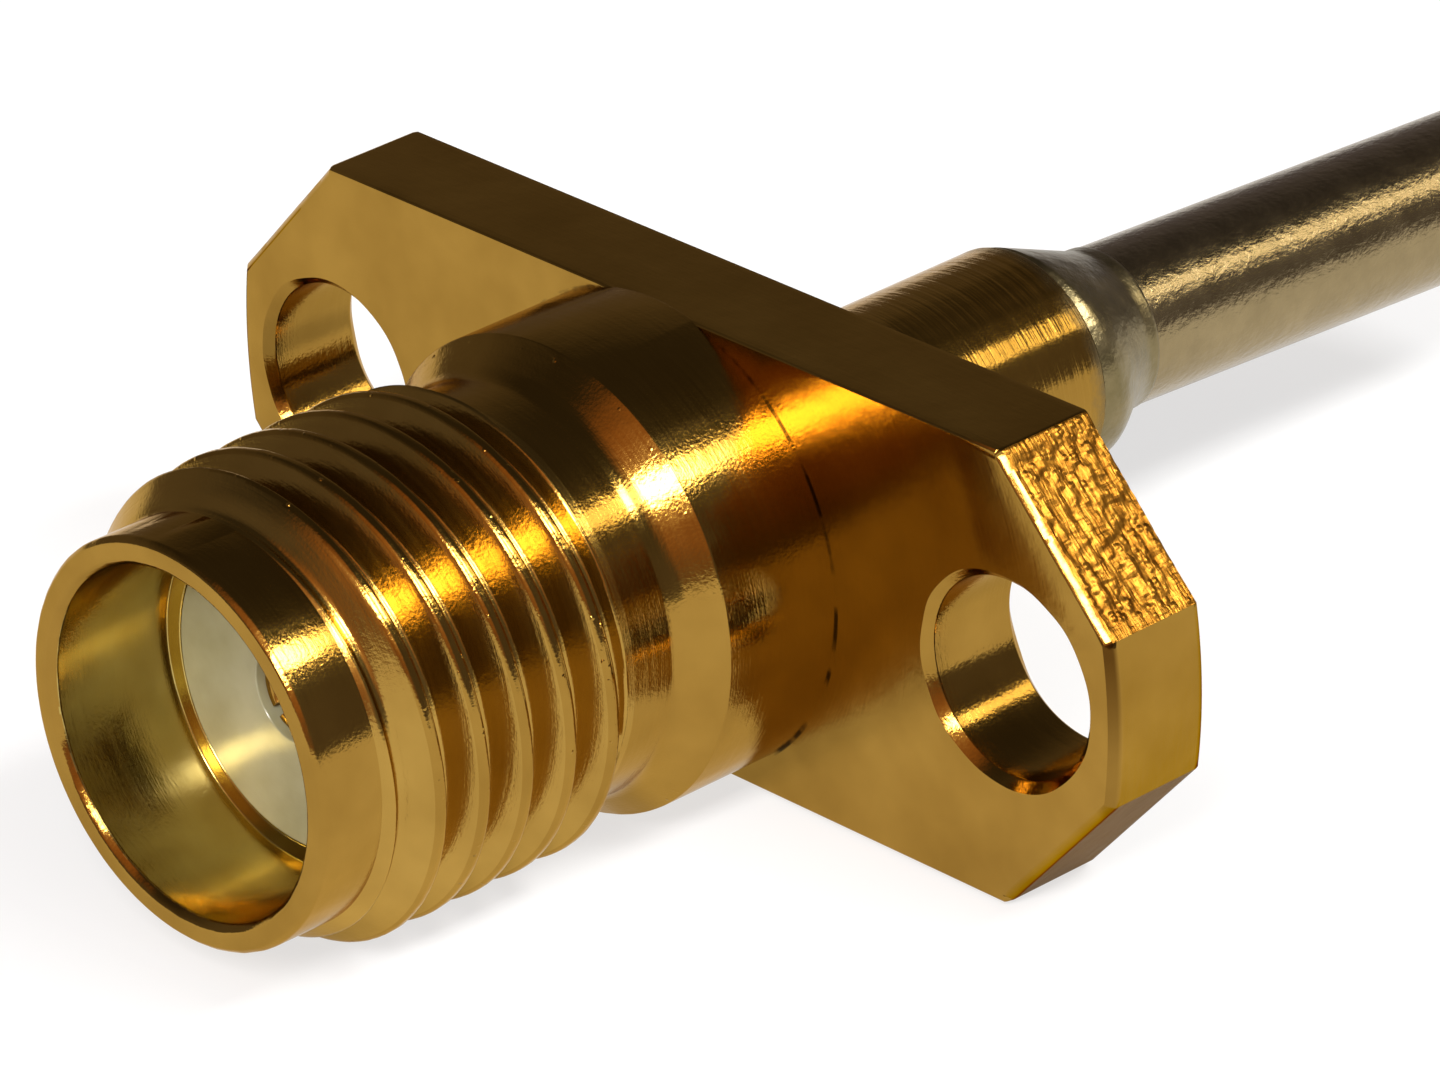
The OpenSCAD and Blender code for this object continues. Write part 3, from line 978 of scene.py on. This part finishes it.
turned_gold = gold("turned_gold", 0.10, (0.5, 46, 0.5), 0.0012, grain=0.002, wear_and_painted_shade=barrel_wear)
# The face carries a broken line of painted shade round the foot of the neck
faced_gold = gold("faced_gold", 0.13, (30, 1, 1), 0.0006, turned=True, grain=0.0004, wear_and_painted_shade=neck_painted_shade)
milled_gold = gold("milled_gold", 0.12, (1.2, 26, 1.2), 0.002, grain=0.0006)
# The ends carry a painted dark reflection along their front edges
end_gold = gold("end_gold", 0.12, (1.2, 26, 1.2), 0.002, grain=0.0006, rim=END_EDGE, wear_and_painted_shade=end_painted_dark_reflection)
rough_gold = torn_gold("rough_gold")
# Paler copy of the gold in the thread's valleys: painted light
thread_gold_painted_light = gold("thread_gold_painted_light", 0.13, (0.5, 30, 0.5), 0.003, grain=0.002, pale=VALLEY_PALE_PAINTED_LIGHT,
                   deep=VALLEY_DEEP_PAINTED_LIGHT)
# Lighter copy of the gold in the bore: painted light
bore_gold_painted_light = gold("bore_gold_painted_light", 0.13, (0.5, 40, 0.5), 0.0010, pale=BORE_PALE_PAINTED_LIGHT, deep=BORE_DEEP_PAINTED_LIGHT)
contact_gold = gold("contact_gold", 0.15, (0.5, 60, 0.5), 0.001)
bush_white = white_plastic("bush_white")
core_white = white_plastic("core_white")
solder = dull_metal("solder", (0.17, 0.136, 0.06), (0.28, 0.222, 0.112), 0.27, (4, 4, 4), 0.022)
tin = dull_metal("tin", (0.25, 0.190, 0.095), (0.32, 0.246, 0.126), 0.18, (10, 8, 10), 0.011)
silver = dull_metal("silver", (0.56, 0.56, 0.53), (0.70, 0.70, 0.67), 0.22, (20, 20, 20), 0.003)


def dress(piece, material, node):
    """Gives the piece its material and the place of the CAD node that it replaces."""
    piece.data.materials.clear()
    piece.data.materials.append(material)
    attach(piece, "root")
    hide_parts(node)
    return piece


# Order of the body's materials
TURNED, FACED, MILLED, ROUGH, BORE, THREAD, END = range(7)


def body_finish(middle, normal):
    """Which of the body's materials a face has, by its middle in millimetres and its normal."""
    from_axis = math.hypot(middle.x, middle.z)
    if 0 <= middle.y <= FLANGE_THICKNESS and from_axis > SLEEVE_R:
        if abs(normal.y) > 0.99:
            return FACED
        if math.hypot(abs(middle.x) - HOLE_X, middle.z) < HOLE_R + HOLE_CHAMFER:
            return TURNED
        if abs(middle.x) <= LONG_FLAT / 2:
            return MILLED
        if normal.z < 0.3:
            return END
        return ROUGH if abs(normal.y) < 0.5 else MILLED
    if middle.y < -CHAMBER_FLOOR and from_axis < BORE_R + 0.01:
        return BORE
    if THREAD_START < -middle.y < MOUTH_RING_END and from_axis < THREAD_R - 0.04:
        return THREAD
    return TURNED


body = dress(connector_body(), turned_gold, "connector_body")
for material in (faced_gold, milled_gold, rough_gold, bore_gold_painted_light, thread_gold_painted_light, end_gold):
    body.data.materials.append(material)
for polygon in body.data.polygons:
    polygon.material_index = body_finish(polygon.center / MM, polygon.normal)

dress(insulator(), bush_white, "front_insulator")
dress(contact(), contact_gold, "centre_contact")
dress(solder_collar(), solder, "solder_fillet")
dress(cable_tube("cable_sheath", CABLE_R, CORE_R, -CHAMBER_FLOOR), tin,
      "cable_outer_conductor")
dress(cable_tube("cable_core", CORE_R, WIRE_R, -CHAMBER_FLOOR), core_white,
      "cable_dielectric")
dress(cable_tube("cable_wire", WIRE_R, 0, -CHAMBER_FLOOR - CRIMP_DEPTH), silver,
      "cable_centre_conductor")


# Stage

def make_floor():
    """A plain white floor that keeps the object's shadow."""
    bm = bmesh.new()
    bmesh.ops.create_grid(bm, x_segments=1, y_segments=1, size=FLOOR_SIZE)
    bmesh.ops.translate(bm, vec=(0, 0, -NECK_R), verts=bm.verts)
    floor = finish_mesh(bm, "floor")
    nodes = Nodes("floor_white")
    nodes.tree.nodes.remove(nodes.shader)
    diffuse = nodes.add("ShaderNodeBsdfDiffuse", Color=(FLOOR_GREY, FLOOR_GREY, FLOOR_GREY, 1))
    glow = nodes.add("ShaderNodeEmission", Strength=FLOOR_GLOW)
    dark = nodes.add("ShaderNodeEmission", Strength=0.0)
    path = nodes.add("ShaderNodeLightPath")
    seen = path.outputs["Is Camera Ray"]
    for ray in ("Is Glossy Ray", "Is Transmission Ray"):
        either = nodes.add("ShaderNodeMath", operation="MAXIMUM")
        nodes.link(seen, either.inputs[0])
        nodes.link(path.outputs[ray], either.inputs[1])
        seen = either.outputs[0]
    choose = nodes.add("ShaderNodeMixShader")
    total = nodes.add("ShaderNodeAddShader")
    nodes.link(seen, choose.inputs["Fac"])
    nodes.link(dark.outputs[0], choose.inputs[1])
    nodes.link(glow.outputs[0], choose.inputs[2])
    nodes.link(choose.outputs[0], total.inputs[0])
    nodes.link(diffuse.outputs[0], total.inputs[1])
    nodes.link(total.outputs[0], nodes.output.inputs["Surface"])
    floor.data.materials.append(nodes.material)


def make_strip_lamp(name, radiance, angle, width, start, end, colour):
    """One of a row of soft boxes on the upper right, parallel to the connector's axis."""
    angle = math.radians(angle)
    towards = Vector((math.cos(angle), 0, math.sin(angle)))
    data = bpy.data.lights.new(name, "AREA")
    data.shape = "RECTANGLE"
    data.size = width * MM
    data.size_y = (end - start) * MM
    data.energy = radiance * math.pi * data.size * data.size_y
    data.color = colour
    lamp = bpy.data.objects.new(name, data)
    along = Vector((0, 1, 0))
    turn = Matrix((along.cross(towards), along, towards)).transposed()
    place = (towards * LAMP_DISTANCE + along * (start + end) / 2) * MM
    lamp.matrix_world = Matrix.Translation(place) @ turn.to_4x4()
    bpy.context.scene.collection.objects.link(lamp)


def make_world():
    """A dim grey room, darker overhead, with a soft warm wall high in front of the mouth."""
    world = bpy.data.worlds.new("studio")
    world.use_nodes = True
    tree = world.node_tree
    background = tree.nodes["Background"]
    place = tree.nodes.new("ShaderNodeTexCoord")
    height = tree.nodes.new("ShaderNodeSeparateXYZ")
    grey = tree.nodes.new("ShaderNodeValToRGB")
    for element, (position, level) in zip(grey.color_ramp.elements, (ROOM_LOW, ROOM_HIGH)):
        element.position = position
        element.color = (*(level * tint for tint in ROOM_TINT), 1)
    facing = tree.nodes.new("ShaderNodeVectorMath")
    facing.operation = "DOT_PRODUCT"
    facing.inputs[1].default_value = Vector(WALL_DIRECTION).normalized()
    wall = tree.nodes.new("ShaderNodeMapRange")
    wall.interpolation_type = "SMOOTHSTEP"
    wall.inputs["From Min"].default_value = WALL_START
    wall.inputs["From Max"].default_value = WALL_FULL
    warm = tree.nodes.new("ShaderNodeMix")
    warm.data_type = "RGBA"
    warm.inputs[7].default_value = (*WALL_COLOUR, 1)
    tree.links.new(place.outputs["Generated"], height.inputs[0])
    tree.links.new(height.outputs["Z"], grey.inputs["Fac"])
    tree.links.new(place.outputs["Generated"], facing.inputs[0])
    tree.links.new(facing.outputs["Value"], wall.inputs["Value"])
    tree.links.new(wall.outputs["Result"], warm.inputs["Factor"])
    tree.links.new(grey.outputs["Color"], warm.inputs[6])
    tree.links.new(warm.outputs[2], background.inputs["Color"])
    bpy.context.scene.world = world


make_floor()
for lamp_row in LAMPS:
    make_strip_lamp(*lamp_row)
make_world()
bpy.context.scene.view_settings.view_transform = "Standard"
